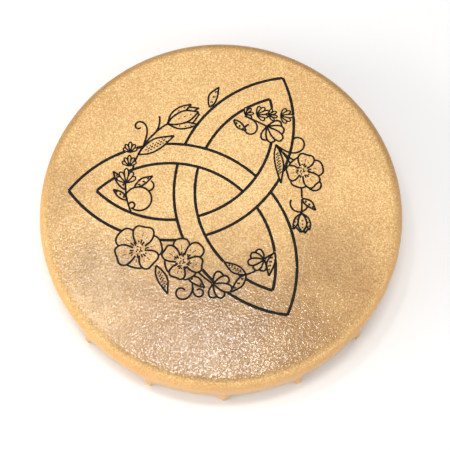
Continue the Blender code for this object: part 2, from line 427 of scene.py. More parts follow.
def spot_mask(look, x, y, size, soft_edge):
    """1 inside a round spot on the face, falling to 0 outside it, with an uneven edge."""
    closer = look.math("SUBTRACT", from_point(look, x, y), size * 0.55)
    uneven = look.math("MULTIPLY_ADD", look.noise(26, detail=4, roughness=0.6), size * 1.1, closer)
    return look.range(uneven, size - soft_edge, size + soft_edge, 1.0, 0.0)


def scratch_mask(look, start, end, width):
    """1 on a thin straight scratch between two places on the face, broken here and there."""
    (x1, y1), (x2, y2) = start, end
    length = math.dist(start, end)
    ux, uy = (x2 - x1) / length, (y2 - y1) / length
    dx = look.math("SUBTRACT", look.axis(look.place, "X"), x1)
    dy = look.math("SUBTRACT", look.axis(look.place, "Y"), y1)
    along = look.math("MULTIPLY_ADD", dx, ux, look.times(dy, uy))
    aside = look.math("MULTIPLY_ADD", dx, -uy, look.times(dy, ux))
    from_middle = look.math("ABSOLUTE", look.math("SUBTRACT", along, length / 2))
    ends = look.range(from_middle, length * 0.38, length * 0.5, 1.0, 0.0)
    line = look.range(look.math("ABSOLUTE", aside), width * 0.3, width, 1.0, 0.0)
    broken = look.range(look.noise(220, detail=3), 0.38, 0.52)
    return look.times(look.times(ends, line), broken)


def hide_ground(look, patches, mottle, on_face):
    """The hide's mottled tan, with a pool of painted light in the middle of the face. The mottling is
    stronger on the face than on the side.
    """
    contrast = look.math("MULTIPLY_ADD", on_face, 0.4, 0.6)
    clouds = look.noise(13, detail=4, roughness=0.55, distortion=0.4)
    grain = look.noise(1150, detail=2, roughness=0.6)
    dark = look.times(contrast, look.range(mottle, 0.28, 0.60, 1.0, 0.0))
    pale = look.times(contrast, look.range(mottle, 0.50, 0.70))
    dark_grain = look.times(contrast, look.range(grain, 0.3, 0.58, 0.55, 0.0))
    colour = look.mix(look.range(clouds, 0.34, 0.66), TAN, PALE_TAN)
    # Painted light: the middle of the face is made paler and more honey-coloured, as if the overhead lamps
    # brightened it.
    colour = look.mix(spot_mask(look, 0, 0.02, 0.075, 0.06), colour, PAINTED_LIGHT_HONEY)
    colour = look.mix(look.range(patches, 0.36, 0.72, 0.0, 0.6), colour, DULL_TAN)
    colour = look.mix(dark, colour, MOTTLE_DARK)
    colour = look.mix(pale, colour, MOTTLE_PALE)
    return look.mix(dark_grain, colour, GRAIN_DARK)


def hide_marks(look, colour, on_face, rim):
    """Stains that stop short of the rim, dark specks, and pale scratches."""
    for (x, y), size, strength, tint in STAINS:
        short_of_rim = look.math("MULTIPLY_ADD", rim, -strength, strength)
        spot = spot_mask(look, x * DRUM_RADIUS, y * DRUM_RADIUS, size, size * 0.8)
        colour = look.mix(look.times(spot, short_of_rim), colour, tint, "MULTIPLY")
    specks = look.range(look.cells(95), 0.055, 0.085, 1.0, 0.0)
    rare = look.range(look.noise(60, detail=1), 0.62, 0.66, 0.0, 0.7)
    colour = look.mix(look.times(specks, rare), colour, SPECK)
    for start, end, width in SCRATCHES:
        ends = [tuple(DRUM_RADIUS * value for value in place) for place in (start, end)]
        mask = look.times(on_face, scratch_mask(look, *ends, width))
        colour = look.mix(look.times(mask, 0.6), colour, SCRATCH)
    return colour


def hide_side(look, colour, side, rim):
    """The side is plainer and darker than the face, the far rim has painted shade that deepens towards the
    back of the drum, and the cut edge is brown.
    """
    height = look.axis(look.place, "Z")
    # Painted shade on the rim: weak at the front, full at the back, where the rim faces away from the light.
    far_rim_shade = look.range(look.axis(look.place, "Y"), -0.06, 0.10, 0.10, 1.0)
    colour = look.mix(look.times(side, 0.25), colour, SIDE_TAN)
    colour = look.mix(look.times(side, 0.9), colour, SIDE_SHADE, "MULTIPLY")
    colour = look.mix(look.times(rim, far_rim_shade), colour, RIM_SHADE, "MULTIPLY")
    return look.mix(look.range(height, 0.006, 0.016, 0.25, 0.0), colour, CUT_EDGE)


def hide_gloss(look, on_face):
    """A clear coat with small beads that break a lamp's reflection up into glints. It is thin on the side."""
    glint = look.bump(look.noise(70, detail=1), 0.0004)
    beads = look.noise(470, detail=0.5, roughness=0.5, distortion=0.1)
    look.link(look.math("MULTIPLY_ADD", on_face, 0.42, 0.08), look.shader.inputs["Coat Weight"])
    look.link(look.bump(beads, 0.00031, normal=glint), look.shader.inputs["Coat Normal"])


def rawhide_material():
    look = Look("rawhide_head", 0.42, Specular_IOR_Level=0.3, Coat_Roughness=0.11)
    side = look.range(look.axis(look.place, "Z"), FACE_Z - 0.004, FACE_Z - 0.0005, 1.0, 0.0)
    on_face = look.math("SUBTRACT", 1.0, side)
    rim = look.range(from_point(look, 0, 0), DRUM_RADIUS - 0.013, DRUM_RADIUS - 0.006)
    patches = look.noise(48, detail=5, roughness=0.6, distortion=0.3)
    mottle = look.noise(540, detail=4, roughness=0.65, distortion=0.2)
    colour = hide_ground(look, patches, mottle, on_face)
    colour = hide_marks(look, colour, on_face, rim)
    colour = hide_side(look, colour, side, rim)
    hide_gloss(look, on_face)
    normal = look.bump(look.noise(110, detail=3, roughness=0.5, distortion=0.5), 0.0006)
    normal = look.bump(look.noise(300, detail=3, roughness=0.6, distortion=0.3), 0.0005, normal=normal)
    normal = look.bump(look.noise(620, detail=3, roughness=0.6, distortion=0.2), 0.00022, normal=normal)
    uneven = look.math("MULTIPLY_ADD", patches, 0.5, look.times(mottle, 0.5))
    return look.finish(colour, look.range(uneven, 0.35, 0.65, 0.36, 0.52), normal)


def lace_material():
    """Pale rawhide strip, streaked along its length."""
    tan, pale, dark, worn = (0.70, 0.43, 0.17), (0.86, 0.60, 0.30), (0.50, 0.29, 0.11), (0.95, 0.74, 0.44)
    look = Look("rawhide_lace", 0.5, Coat_Weight=0.1, Coat_Roughness=0.4)
    along = look.stretched(look.uv, (1.0, 5.0, 1.0))
    streaks = look.noise(380, detail=4, roughness=0.6, distortion=0.5, source=along)
    colour = look.mix(look.range(look.noise(40, detail=4), 0.35, 0.65), tan, pale)
    colour = look.mix(look.range(streaks, 0.3, 0.6, 0.6, 0.0), colour, dark)
    colour = look.mix(look.range(look.noise(900, detail=2), 0.5, 0.75, 0.0, 0.4), colour, worn)
    normal = look.bump(streaks, 0.0004, strength=0.5)
    return look.finish(colour, look.range(streaks, 0.3, 0.7, 0.38, 0.62), normal)


def wood_material():
    """Pale bent wood, its grain running round the hoop: u is metres round it, v metres across its faces."""
    brown, pale = (0.66, 0.375, 0.135), (0.78, 0.49, 0.205)
    pore, shade = (0.52, 0.30, 0.11), (0.62, 0.37, 0.15)
    look = Look("hoop_wood", 0.45, Coat_Weight=0.12, Coat_Roughness=0.3)
    long = look.stretched(look.uv, (6.0, 150.0, 1.0))
    wavy = look.noise(1.0, detail=4, roughness=0.55, distortion=0.8, source=long)
    across = look.times(look.axis(long, "Y"), 3.0)
    rings = look.math("SINE", look.math("MULTIPLY_ADD", wavy, 22.0, across))
    fine = look.stretched(look.uv, (60.0, 2600.0, 1.0))
    fibres = look.noise(1.0, detail=3, roughness=0.7, source=fine)
    colour = look.mix(look.range(rings, -0.6, 1.0), brown, pale)
    colour = look.mix(look.range(fibres, 0.3, 0.62, 0.5, 0.0), colour, pore)
    colour = look.mix(look.range(look.noise(9, detail=3), 0.4, 0.7, 0.0, 0.35), colour, shade)
    normal = look.bump(fibres, 0.0002, strength=0.35)
    return look.finish(colour, look.range(fibres, 0.3, 0.7, 0.36, 0.58), normal)


def suede_material():
    brown, tan, raised = (0.115, 0.052, 0.024), (0.24, 0.125, 0.062), (0.34, 0.20, 0.11)
    look = Look("suede", 0.9, Sheen_Weight=0.35, Sheen_Roughness=0.5)
    nap = look.noise(900, detail=4, roughness=0.75)
    worn = look.noise(70, detail=4, roughness=0.6)
    colour = look.mix(look.range(worn, 0.35, 0.68), brown, tan)
    colour = look.mix(look.range(nap, 0.4, 0.72, 0.0, 0.6), colour, raised)
    normal = look.bump(nap, 0.0004, strength=0.7)
    return look.finish(colour, look.range(worn, 0.3, 0.7, 0.78, 0.95), normal)


def steel_material():
    bare, tarnished = (0.62, 0.61, 0.58), (0.33, 0.27, 0.20)
    look = Look("ring_steel", 0.3, metallic=1.0)
    fine = look.stretched(look.uv, (40.0, 1800.0, 1.0))
    brushed = look.noise(1.0, detail=3, roughness=0.7, source=fine)
    tarnish = look.noise(90, detail=4, roughness=0.65)
    colour = look.mix(look.range(tarnish, 0.42, 0.7, 0.0, 0.6), bare, tarnished)
    normal = look.bump(brushed, 0.0001, strength=0.25)
    return look.finish(colour, look.range(tarnish, 0.35, 0.7, 0.24, 0.5), normal)


def ink_material():
    black, thin = (0.003, 0.003, 0.004), (0.016, 0.012, 0.012)
    look = Look("ink", 0.6, Specular_IOR_Level=0.25)
    density = look.noise(700, detail=3, roughness=0.65)
    colour = look.mix(look.range(density, 0.35, 0.75), black, thin)
    normal = look.bump(look.noise(620, detail=3, roughness=0.6, distortion=0.6), 0.0005, strength=0.5)
    return look.finish(colour, look.range(density, 0.3, 0.7, 0.5, 0.7), normal)


# -------------------- the hide

def lacing_angle(number):
    return FIRST_LACING + math.tau * number / LACING_POINTS


def off_nearest_lacing(angle):
    """The distance round the drum from the nearest lacing point."""
    pitch = math.tau / LACING_POINTS
    return DRUM_RADIUS * ((angle - FIRST_LACING + pitch / 2) % pitch - pitch / 2)


def hide_edge_z(angle):
    """Height of the hide's cut edge: low and pulled down at each lacing point, higher between them."""
    off = off_nearest_lacing(angle)
    x, y = math.cos(angle), math.sin(angle)
    between = HOOP_BACK + BARE_WOOD + BARE_SWING * math.cos(angle - BARE_MOST_AT)
    between += EDGE_WAVER * rough(x, y, scale=4.0, seed=3.0) + EDGE_FRAY * rough(x, y, scale=17.0, seed=8.0)
    spread = EAR_SPREADS[0 if off > 0 else 1]
    lifted = 1 - math.exp(-(abs(off / spread) ** 4))
    return EAR_EDGE_Z + (between - EAR_EDGE_Z) * lifted


def bell(distance, half_width):
    """1 at a distance of 0, falling off smoothly on both sides."""
    return math.exp(-((distance / half_width) ** 2))


def hood(angle, z):
    faded = smooth((HOOD_GONE_Z - z) / (HOOD_GONE_Z - HOOD_FULL_Z))
    return HOOD * bell(off_nearest_lacing(angle), HOOD_SPREAD) * faded


def pull_marks(angle, z):
    """How far the laces' pull lifts the hide's side: ridges, dips beside them, and crinkles."""
    off = off_nearest_lacing(angle)
    x, y = math.cos(angle), math.sin(angle)
    ridge_fade, dip_fade, crinkle_fade = [smooth((gone_z - z) / over)
                                          for gone_z, over in (RIDGE_FADE, DIP_FADE, CRINKLE_FADE)]
    ridge = bell(off, RIDGE_HALF_WIDTH + RIDGE_FLARE * max(z - RIDGE_FLARE_FROM_Z, 0))
    dips = bell(abs(off) - DIP_OFF, DIP_HALF_WIDTH)
    crinkle = rough(x, y, scale=28.0, z=z * 0.4, seed=5.0)
    return RIDGE * ridge * ridge_fade - DIP * dips * dip_fade + CRINKLE * crinkle * crinkle_fade


def face_relief(x, y):
    """The face isn't quite flat: it has slow, shallow waves."""
    near_rim = smooth((DRUM_RADIUS - SHOULDER - math.hypot(x, y)) / FLAT_RIM)
    waves = SLOW_WAVE * rough(x, y, scale=13.0, seed=2.0) + QUICK_WAVE * rough(x, y, scale=30.0, seed=9.0)
    return (waves - FACE_SAG) * near_rim


def hide_columns():
    """Directions of the mesh's columns, close together at the lacing points."""
    half_pitch = DRUM_RADIUS * math.pi / LACING_POINTS
    sector = sorted({-o for o in COLUMN_OFFSETS} | set(COLUMN_OFFSETS) | {half_pitch})
    return [lacing_angle(n) + o / DRUM_RADIUS for n in range(LACING_POINTS) for o in sector]


def hide_rows(columns):
    """The hide's outer surface as rows of points, from near the middle of the face to the cut edge."""
    rows = []
    flat = DRUM_RADIUS - SHOULDER
    side_top = FACE_Z - SHOULDER
    for ring in range(1, FACE_RINGS + 1):
        row = [turned_point(flat * ring / FACE_RINGS, a, FACE_Z) for a in columns]
        rows.append([p + Vector((0, 0, face_relief(p.x, p.y))) for p in row])
    for step in range(1, SHOULDER_STEPS + 1):
        bend = math.pi / 2 * step / SHOULDER_STEPS
        radius, z = flat + SHOULDER * math.sin(bend), side_top + SHOULDER * math.cos(bend)
        rows.append([turned_point(radius, a, z) for a in columns])
    for step in range(1, SIDE_STEPS + 1):
        z = side_top + (HOOD_GONE_Z - side_top) * step / SIDE_STEPS
        rows.append([turned_point(DRUM_RADIUS + pull_marks(a, z), a, z) for a in columns])
    for ear_z in EAR_ROWS:
        down = (HOOD_GONE_Z - ear_z) / (HOOD_GONE_Z - EAR_EDGE_Z)
        row = []
        for a in columns:
            z = HOOD_GONE_Z - down * (HOOD_GONE_Z - hide_edge_z(a))
            row.append(turned_point(DRUM_RADIUS + hood(a, z) + pull_marks(a, z), a, z))
        rows.append(row)
    return rows


def close_middle(skin, width):
    """Closes the face inside its first ring of points with triangles."""
    skin.verts.ensure_lookup_table()
    first = [skin.verts[j] for j in range(width)]
    middle = skin.verts.new((0, 0, FACE_Z + face_relief(0, 0)))
    for j in range(width):
        skin.faces.new((middle, first[(j + 1) % width], first[j]))


def cut_lacing_holes(skin):
    margin = 0.0002
    holes = []
    for face in skin.faces:
        centre = face.calc_center_median()
        off = off_nearest_lacing(math.atan2(centre.y, centre.x))
        if HOLE_BOTTOM_Z - margin < centre.z < HOLE_TOP_Z + margin and abs(off) < HOLE_HALF_WIDTH:
            holes.append(face)
    bmesh.ops.delete(skin, geom=holes, context="FACES")


def make_hide(material):
    """Makes the hide, and returns a tree of its outer surface for the ink to lie on."""
    columns = hide_columns()
    mesh = grid_mesh("rawhide_skin", hide_rows(columns))
    skin = bmesh.new()
    skin.from_mesh(mesh)
    close_middle(skin, len(columns))
    cut_lacing_holes(skin)
    bmesh.ops.recalc_face_normals(skin, faces=skin.faces)
    if max(skin.faces, key=lambda f: f.calc_center_median().z).normal.z < 0:
        bmesh.ops.reverse_faces(skin, faces=skin.faces)
    skin.to_mesh(mesh)
    tree = BVHTree.FromBMesh(skin)
    skin.free()
    hide = new_piece("rawhide_skin", mesh, material, "rawhide_head", "drum_head")
    thick = hide.modifiers.new("thickness", "SOLIDIFY")
    thick.thickness = HIDE_THICKNESS
    thick.offset = -1
    thick.use_even_offset = True
    return tree


# -------------------- the hoop

def hoop_section():
    """The hoop's section as (radius, height) points, round from its front outer corner."""
    section = []

    def corner(r, z, radius, start, end, count):
        section.extend(arc(r, z, radius, start, end, count))

    rounded = SHOULDER - HIDE_THICKNESS - HIDE_GAP
    middle_z = (HOOP_FRONT + HOOP_BACK) / 2
    corner(HOOP_OUTER - rounded, HOOP_FRONT - rounded, rounded, 90, 0, 10)
    section.append((HOOP_OUTER, middle_z))
    corner(HOOP_OUTER - HOOP_EASE, HOOP_BACK + HOOP_EASE, HOOP_EASE, 0, -90, 4)
    corner(HOOP_INNER + HOOP_EASE, HOOP_BACK + HOOP_EASE, HOOP_EASE, -90, -180, 4)
    section.append((HOOP_INNER, middle_z))
    corner(HOOP_INNER + FRONT_EASE, HOOP_FRONT - 1.2 * FRONT_EASE, FRONT_EASE, 180, 90, 2)
    return section


def overlap_lip(angle):
    """How far the glued overlap stands in from the hoop's inner face: a step up that then fades out."""
    past = ((angle - OVERLAP_AT) % math.tau) / OVERLAP_RUN
    rise, fade = 0.04, 1.2
    return OVERLAP_STEP * smooth(past / rise) * (1 - smooth((past - rise) / fade))


def make_hoop(material):
    """The bent hoop, with eased corners and the step of its glued overlap on the inside."""
    section = hoop_section()
    across = [0.0]
    for here, there in zip(section, section[1:] + section[:1]):
        across.append(across[-1] + math.dist(here, there))
    angles = shares(math.tau, HOOP_STEPS)
    rows = []
    for angle in angles[:-1]:
        lip = overlap_lip(angle)
        moved = [(r - lip if r < HOOP_INNER + OVERLAP_DEPTH else r, z) for r, z in section]
        rows.append([turned_point(r, angle, z) for r, z in moved])
    mesh = grid_mesh("bent_hoop", rows, close_rows=True, u=[HOOP_OUTER * a for a in angles], v=across)
    new_piece("bent_hoop", mesh, material, "hoop_wood", "frame_hoop")


# -------------------- laces and grip

def arms():
    """Each arm's direction, and the numbers of the lacing points that it serves."""
    found, first = [], 0
    for count in ARM_GROUPS:
        numbers = list(range(first, first + count))
        found.append((sum(lacing_angle(n) for n in numbers) / count, numbers))
        first += count
    return found


def rounded_plan(points):
    """A plan route with each of its corners drawn as a short curve."""
    steps, nearly_straight, short = 6, math.pi / 2 - 0.01, 0.0005
    route = [points[0]]
    for before, corner, after in zip(points, points[1:], points[2:]):
        back, on = (before - corner).normalized(), (after - corner).normalized()
        half = back.angle(on) / 2
        reach = min(ROUTE_CORNER / math.tan(half), ROUTE_CORNER) if half < nearly_straight else short
        for i in range(steps + 1):
            t = i / steps
            route.append((corner + back * reach * (1 - t)) * (1 - t) + (corner + on * reach * t) * t)
    route.append(points[-1])
    return route


def resampled(points, spacing):
    out = []
    for a, b in zip(points, points[1:]):
        count = max(1, round((b - a).length / spacing))
        out += [a.lerp(b, i / count) for i in range(count)]
    return out + [points[-1]]


def strand(route, arm_z, hoop_z, arm_length):
    """One strand along a plan route: level in the arm, then a slightly curved slope to the hoop, and level
    across the hoop's back."""
    total = sum((b - a).length for a, b in zip(route, route[1:]))
    far, places = 0.0, []
    for before, p in zip(route[:1] + route, route):
        far += (p - before).length
        t = max(0.0, (far - arm_length) / (total - arm_length))
        z = arm_z + (hoop_z - arm_z) * (0.4 * smooth(t) + 0.6 * t)
        on_hoop = math.hypot(p.x, p.y) > LEVEL_FROM_R - 0.0005
        places.append(Vector((p.x, p.y, hoop_z if on_hoop else z)))
    return places


def upright(direction, origin, places):
    """Points of an upright plane through a direction, from (distance, height) pairs."""
    return [Vector((*(origin + direction * far).xy, z)) for far, z in places]


def hide_turn():
    """A lace's turn at the hide, as (radius, height) points: out under it, up, and in through the hole."""
    turn = arc(OVER_HIDE_R - EDGE_TURN, BACK_STRAND_Z + EDGE_TURN, EDGE_TURN, -90, 0, 6)
    turn += arc(OVER_HIDE_R - HOLE_TURN, HOLE_Z - HOLE_TURN, HOLE_TURN, 0, 90, 6)
    turn += arc(BEHIND_HIDE_R + HOLE_TURN, HOLE_Z - HOLE_TURN, HOLE_TURN, 90, 180, 6)
    return turn + arc(BEHIND_HIDE_R - HOLE_TURN, FRONT_STRAND_Z + HOLE_TURN, HOLE_TURN, 0, -90, 6)


def strip_sides(points, aside, outward):
    """The sideways direction of a lace at each of its points."""
    sides = []
    for i, p in enumerate(points):
        plan = (points[(i + 1) % len(points)] - points[i - 1]).xy
        reach = math.hypot(p.x, p.y)
        if reach > LEVEL_FROM_R + 0.004:
            sides.append(Vector((-outward.y, outward.x, 0)))
        elif plan.length < 1e-5 or reach < RING_RADIUS + 0.004:
            sides.append(aside.copy())
        else:
            side = Vector((-plan.y, plan.x, 0)).normalized()
            sides.append(side if side.dot(aside) > 0 else -side)
    return sides


def lace_line(arm_angle, lane_y, lane_end, angle):
    """The middle line of one loop and the sideways direction at each of its points."""
    along = turned_point(1, arm_angle, 0)
    aside = Vector((-along.y, along.x, 0))
    outward = turned_point(1, angle, 0)
    start = along * (math.sqrt(RING_RADIUS ** 2 - lane_y ** 2) - LOOP_SLACK) + aside * lane_y
    bend = along * lane_end + aside * lane_y
    corners = [start, bend, outward * LEVEL_FROM_R, outward * (BEHIND_HIDE_R - HOLE_TURN)]
    route = resampled(rounded_plan(corners), ROUTE_STEP)
    arm_length = (bend - start).length
    below = strand(route, RING_Z - LOOP_BEND, BACK_STRAND_Z, arm_length)
    above = strand(route, RING_Z + LOOP_BEND, FRONT_STRAND_Z, arm_length)
    ring_end = upright(along, start, arc(0, RING_Z, LOOP_BEND, 90, 270, 14))
    hide_end = upright(outward, Vector(), hide_turn())
    points = ring_end[:-1] + below + hide_end[:-1] + above[::-1][:-1]
    return points, strip_sides(points, aside, outward)


def swept_strip(name, points, sides, seed):
    """A closed loop of flat lace with soft corners and slightly uneven edges."""
    girth = 2 * (LACE_WIDTH + LACE_THICKNESS)
    rows, u = [], [0.0]
    for i, (p, side) in enumerate(zip(points, sides)):
        far, after = u[-1], points[(i + 1) % len(points)]
        normal = (after - points[i - 1]).normalized().cross(side).normalized()
        half_width = LACE_WIDTH / 2 * (0.97 + 0.03 * rough(far, seed, scale=60.0, seed=seed))
        half_thick = LACE_THICKNESS / 2 * (0.94 + 0.06 * rough(far, seed, scale=90.0, seed=seed + 4))
        section = rounded_section(half_width, half_thick, STRIP_POWERS, STRIP_CORNERS)
        rows.append([p + side * x + normal * y for x, y in section])
        u.append(far + (after - p).length)
    return grid_mesh(name, rows, close_rows=True, u=u, v=shares(girth, STRIP_CORNERS))


def outward_mesh(mesh):
    """Turns a closed mesh's faces to point out."""
    shape = bmesh.new()
    shape.from_mesh(mesh)
    bmesh.ops.recalc_face_normals(shape, faces=shape.faces)
    shape.to_mesh(mesh)
    shape.free()
    return mesh


def make_laces(material):
    for arm_angle, numbers in arms():
        middle = (len(numbers) - 1) / 2
        for place, number in enumerate(numbers):
            lane_end = OUTER_LANE_END if place in (0, len(numbers) - 1) else INNER_LANE_END
            points, sides = lace_line(arm_angle, (place - middle) * LANE, lane_end, lacing_angle(number))
            name = f"lace_{number + 1:02d}"
            mesh = outward_mesh(swept_strip(name, points, sides, seed=number * 1.7))
            new_piece(name, mesh, material, "rawhide_lace", f"lace_loop_{number + 1:02d}")


def make_ring(material):
    """The steel ring, with the slight swelling of its weld."""
    rows, major, minor = [], 128, 24
    for angle in shares(math.tau, major)[:-1]:
        from_weld = (angle - WELD_AT + math.pi) % math.tau - math.pi
        wire = RING_WIRE * (1 + WELD_SWELL * bell(from_weld, WELD_HALF_WIDTH))
        section = arc(RING_RADIUS, RING_Z, wire, 0, 360, minor)[:-1]
        rows.append([turned_point(r, angle, z) for r, z in section])
    u, v = shares(math.tau * RING_RADIUS, major), shares(math.tau * RING_WIRE, minor)
    mesh = outward_mesh(grid_mesh("steel_ring", rows, close_rows=True, u=u, v=v))
    new_piece("steel_ring", mesh, material, "ring_steel", "grip_ring")


def wrap_swell(s, turn, index, end):
    """How far the suede stands out from its wall: each turn of the strip rises at its edge over the last one
    and sinks towards its other edge, and both ends of the wrap are drawn in. turn is the share of the way
    round, and end goes from 0 at an end to 1 on the wrap."""
    rise, sink = 0.06, 0.75
    phase = ((s - WRAP_FROM) / SUEDE_STRIP + turn + 0.13 * index) % 1.0
    edge = smooth(phase / rise) if phase < rise else 1.0 - sink * (phase - rise) / (1 - rise)
    drawn_in = (WRAP_WALL - SUEDE_LAP) * 0.5 * (1 - smooth(end))
    nap = SUEDE_NAP * rough(s, turn * 0.05, scale=160.0, seed=index)
    return SUEDE_LAP * edge * end - drawn_in + nap


def make_wrap(material, index, arm_angle, lanes):
    """A strip of suede wound round an arm's laces, each turn lapping the last."""
    along = turned_point(1, arm_angle, 0)
    aside = Vector((-along.y, along.x, 0))
    wall = WRAP_WALL - SUEDE_LAP
    half_x = (lanes * LANE - GAP) / 2 + 0.0007
    half_y = LOOP_BEND + LACE_THICKNESS / 2 + 0.0004
    inner = rounded_section(half_x, half_y, (WRAP_INNER_POWER,) * 2, WRAP_COLUMNS)
    outer = rounded_section(half_x + wall, half_y + wall, (WRAP_OUTER_POWER,) * 2, WRAP_COLUMNS)

    def place(s, x, y):
        return along * s + aside * x + Vector((0, 0, RING_Z + y))

    rows = []
    for step in range(WRAP_STEPS + 1):
        s = WRAP_FROM + (WRAP_TO - WRAP_FROM) * step / WRAP_STEPS
        end = min(step / 3, (WRAP_STEPS - step) / 3, 1.0)
        row = []
        for k, (x, y) in enumerate(outer):
            grown = 1 + wrap_swell(s, k / WRAP_COLUMNS, index, end) / math.hypot(x, y)
            row.append(place(s, x * grown, y * grown))
        rows.append(row)
    for quarter in (4, 3, 2, 1, 0):
        s = WRAP_FROM + (WRAP_TO - WRAP_FROM) * quarter / 4
        rows.append([place(s, x, y) for x, y in inner])
    mesh = outward_mesh(grid_mesh(f"suede_wrap_{index}", rows, close_rows=True))
    new_piece(f"suede_wrap_{index}", mesh, material, "suede", f"grip_wrap_{index}")


def make_wraps(material):
    for index, (arm_angle, numbers) in enumerate(arms(), start=1):
        make_wrap(material, index, arm_angle, len(numbers))


# -------------------- the drawing

class Drawing:
    """Ink lines on the face. Places are in drum radii from its middle, and widths in metres. A leaf or petal
    hides the lines drawn before it."""

    def __init__(self):
        self.strokes = []

    def line(self, points, width, taper=False):
        self.strokes.append((np.array(points, float), width, taper))

    def cover(self, outline):
        """Removes what is inside an outline from the lines drawn so far."""
        outline = np.array(outline, float)
        low, high = outline.min(0), outline.max(0)
        kept = []
        for points, width, taper in self.strokes:
            if (points.max(0) < low).any() or (points.min(0) > high).any():
                kept.append((points, width, taper))
                continue
            hidden = inside_polygon(points, outline)
            kept += [(run, width, taper) for run in shown_runs(points, hidden)]
        self.strokes = kept


def inside_polygon(points, outline):
    """Which points lie inside a closed outline: a level line from them crosses it an odd number of times."""
    x, y = points[:, 0][:, None], points[:, 1][:, None]
    a, b = outline, np.roll(outline, -1, axis=0)
    crosses = (a[:, 1] > y) != (b[:, 1] > y)
    tiny = 1e-12
    rise = np.where(np.abs(b[:, 1] - a[:, 1]) < tiny, tiny, b[:, 1] - a[:, 1])
    at = a[:, 0] + (y - a[:, 1]) * (b[:, 0] - a[:, 0]) / rise
    return (crosses & (x < at)).sum(1) % 2 == 1


def shown_runs(points, hidden):
    """The stretches of a line, each of two points or more, that aren't hidden."""
    changes = np.flatnonzero(np.diff(np.concatenate(([1], hidden.astype(int), [1]))))
    return [points[start:end] for start, end in zip(changes[::2], changes[1::2]) if end - start > 1]


def polar(origin, length, degrees):
    angle = math.radians(degrees)
    return (origin[0] + length * math.cos(angle), origin[1] + length * math.sin(angle))


def curve(points, closed=False):
    """A smooth line through a few points."""
    pts = [Vector(p) for p in points]
    if closed:
        pts = [pts[-1], *pts, pts[0], pts[1]]
    else:
        pts = [2 * pts[0] - pts[1], *pts, 2 * pts[-1] - pts[-2]]
    out = []
    for p0, p1, p2, p3 in zip(pts, pts[1:], pts[2:], pts[3:]):
        count = max(2, round((p2 - p1).length / LINE_STEP))
        for i in range(count):
            t = i / count
            out.append(0.5 * ((2 * p1) + (p2 - p0) * t + (2 * p0 - 5 * p1 + 4 * p2 - p3) * t * t
                              + (3 * p1 - p0 - 3 * p2 + p3) * t ** 3))
    if not closed:
        out.append(pts[-2])
    return [tuple(p) for p in out]


def grow(start, heading, length, turn, tighten=1.0):
    """A stem or tendril. It sets out in its heading and bends by turn degrees in all: evenly where tighten
    is 1, and mostly towards its end where tighten is more."""
    count = max(4, round(length / LINE_STEP))
    points = [start]
    for i in range(count):
        points.append(polar(points[-1], length / count, heading + turn * ((i + 0.5) / count) ** tighten))
    return points


def placed(base, along, aside, shape):
    """A shape's points, each given by its shares of the vectors along and across the shape."""
    return [base + along * x + aside * y for x, y in shape]


def vectors(heading, length, half_breadth):
    """The vectors along a shape and across it, to its left."""
    return Vector(polar((0, 0), length, heading)), Vector(polar((0, 0), half_breadth, heading + 90))


def point_on(line, share):
    return line[round(share * (len(line) - 1))]


def knot_meets(radius):
    """How far from the knot's middle its circles of one radius cross each other: near it, and at the tips."""
    chord = math.sqrt(4 * radius ** 2 - 3 * KNOT_REACH ** 2)
    return (chord - KNOT_REACH) / 2, (chord + KNOT_REACH) / 2


def knot_side(heading, radius):
    """One side of a band, an arc from tip to tip about a centre in the heading from the knot's middle."""
    centre = polar(KNOT_MIDDLE, KNOT_REACH, heading)
    tip = knot_meets(radius)[1]
    half = math.degrees(math.atan2(tip * math.sin(math.pi / 3), KNOT_REACH - tip / 2))
    count = round(math.radians(2 * half) * radius / LINE_STEP)
    return [polar(centre, radius, heading + 180 - half + 2 * half * i / count) for i in range(count + 1)]


def draw_knot(drawing):
    """A three-pointed knot of three bands, each drawn as two lines, over one band and under the other."""
    headings = [KNOT_TURN + 120 * k for k in range(3)]
    radii = (KNOT_RADIUS, KNOT_RADIUS - KNOT_BAND)
    bands = [[knot_side(heading, radius) for radius in radii] for heading in headings]
    near = sum(knot_meets(radius)[0] for radius in radii) / 2
    for under, sides in enumerate(bands):
        over = bands[under - 1]
        region = np.array(over[0] + over[1][::-1])
        crossing = polar(KNOT_MIDDLE, near, headings[under - 2])
        for side in sides:
            points = np.array(side)
            close = np.hypot(*(points - crossing).T) < KNOT_CROSSING
            for run in shown_runs(points, close & inside_polygon(points, region)):
                drawing.line(run, KNOT_LINE)


def draw_leaf(drawing, base, heading, length, fullness, lean=0.0, dashes=3):
    """A pointed leaf with short broken veins. fullness is its half width and lean its sideways bend, both as
    shares of its length."""
    base, (along, aside) = Vector(base), vectors(heading, length, length)
    left = curve(placed(base, along, aside, ((0, 0), (0.22, 0.72 * fullness + 0.4 * lean),
                                             (0.55, 0.98 * fullness + lean), (1, 0))))
    right = curve(placed(base, along, aside, ((0, 0), (0.26, 0.4 * lean - 0.80 * fullness),
                                              (0.58, lean - 0.92 * fullness), (1, 0))))
    drawing.cover(left + right[::-1])
    drawing.line(left, FLOWER_LINE)
    drawing.line(right, FLOWER_LINE)
    rows = (0.0, -0.35, 0.35) if dashes > 4 else (0.0, -0.35)
    for i in range(dashes):
        share = 0.20 + 0.50 * i / (dashes - 1)
        for j, side in enumerate(rows):
            at = base + along * (share + 0.035 * j) + aside * (lean * 0.8 + side * fullness)
            drawing.line([at, polar(at, VEIN_DASH * (1 - 0.2 * j), heading)], FINE_LINE)


